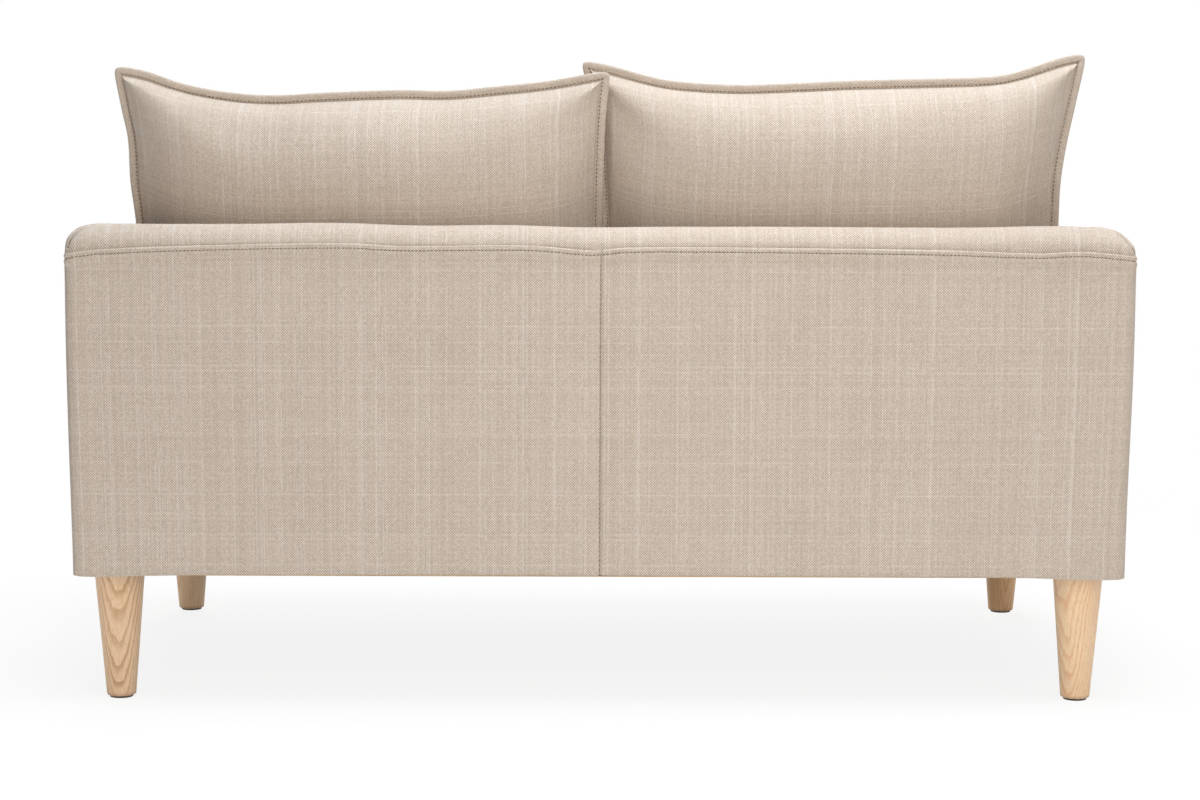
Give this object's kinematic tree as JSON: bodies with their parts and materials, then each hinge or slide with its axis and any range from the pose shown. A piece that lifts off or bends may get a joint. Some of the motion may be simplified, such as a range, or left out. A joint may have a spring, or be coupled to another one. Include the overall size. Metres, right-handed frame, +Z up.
{
  "type": "two-seat sofa",
  "caption": "Compact upholstered sofa with slim arms, loose boxed seat cushions, flanged back cushions and turned tapered wooden legs.",
  "frame": {"origin": "on the floor under the middle of the sofa's bounding box", "axes": "+X along the sofa, +Y towards its back, +Z up; the sitter faces -Y"},
  "size_m": [1.45, 0.78, 0.8915],
  "materials": {
    "linen": "matte",
    "deck_cloth": "matte",
    "dust_cloth": "matte",
    "foam": "matte",
    "fibre": "matte",
    "webbing": "matte",
    "zip_tape": "matte",
    "zip_metal": "satin",
    "zinc_steel": "satin",
    "spring_steel": "satin",
    "glide": "matte",
    "hardboard": "matte",
    "leg_wood": "satin",
    "frame_timber": "matte"
  },
  "bodies": {
    "frame": {"arm_boards_left": "hardboard", "arm_boards_right": "hardboard", "arm_foam_left": "foam", "arm_foam_right": "foam", "arm_front_post_left": "frame_timber", "arm_front_post_right": "frame_timber", "arm_top_cover_left": "linen", "arm_top_cover_right": "linen", "arm_top_rail_left": "frame_timber", "arm_top_rail_right": "frame_timber", "back_board": "hardboard", "back_foam": "foam", "back_post_centre": "frame_timber", "back_post_left": "frame_timber", "back_post_right": "frame_timber", "back_top_cover": "linen", "back_top_rail": "frame_timber", "back_webbing": "webbing", "deck_cover": "deck_cloth", "deck_pad": "foam", "dust_cover": "dust_cloth", "frame_dowels": "frame_timber", "front_border_cover": "linen", "front_border_pad": "foam", "inside_arm_cover_left": "linen", "inside_arm_cover_right": "linen", "inside_back_cover": "linen", "leg_corner_blocks": "frame_timber", "leg_front_left": "leg_wood", "leg_front_right": "leg_wood", "leg_glides": "glide", "leg_hanger_bolts": "zinc_steel", "leg_rear_left": "leg_wood", "leg_rear_right": "leg_wood", "leg_tee_nuts": "zinc_steel", "outside_arm_cover_left": "linen", "outside_arm_cover_right": "linen", "outside_back_cover_left": "linen", "outside_back_cover_right": "linen", "seat_centre_rail": "frame_timber", "seat_front_rail": "frame_timber", "seat_rear_rail": "frame_timber", "seat_side_rail_left": "frame_timber", "seat_side_rail_right": "frame_timber", "seat_springs": "spring_steel", "spring_clips": "zinc_steel"},
    "seat_cushion_left": {"seat_cushion_left_cover": "linen", "seat_cushion_left_core": "foam", "seat_zip_left": "zip_tape"},
    "seat_zip_pull_left": {"seat_zip_slider_left": "zip_metal"},
    "back_cushion_left": {"back_cushion_left_cover": "linen", "back_cushion_left_filling": "fibre"},
    "seat_cushion_right": {"seat_cushion_right_cover": "linen", "seat_cushion_right_core": "foam", "seat_zip_right": "zip_tape"},
    "seat_zip_pull_right": {"seat_zip_slider_right": "zip_metal"},
    "back_cushion_right": {"back_cushion_right_cover": "linen", "back_cushion_right_filling": "fibre"}
  },
  "joints": [
    {"name": "seat_cushion_left_draw", "type": "slide", "parent": "frame", "child": "seat_cushion_left", "axis": [0, -1, 0], "range_m": [0, 0.66]},
    {"name": "seat_zip_left_run", "type": "slide", "parent": "seat_cushion_left", "child": "seat_zip_pull_left", "axis": [1, 0, 0], "range_m": [0, 0.495]},
    {"name": "back_cushion_left_lift", "type": "slide", "parent": "frame", "child": "back_cushion_left", "axis": [0.0061, 0.1735, 0.9848], "range_m": [0, 0.32]},
    {"name": "seat_cushion_right_draw", "type": "slide", "parent": "frame", "child": "seat_cushion_right", "axis": [0, -1, 0], "range_m": [0, 0.66]},
    {"name": "seat_zip_right_run", "type": "slide", "parent": "seat_cushion_right", "child": "seat_zip_pull_right", "axis": [-1, 0, 0], "range_m": [0, 0.495]},
    {"name": "back_cushion_right_lift", "type": "slide", "parent": "frame", "child": "back_cushion_right", "axis": [0.0061, 0.1735, 0.9848], "range_m": [0, 0.32]}
  ]
}
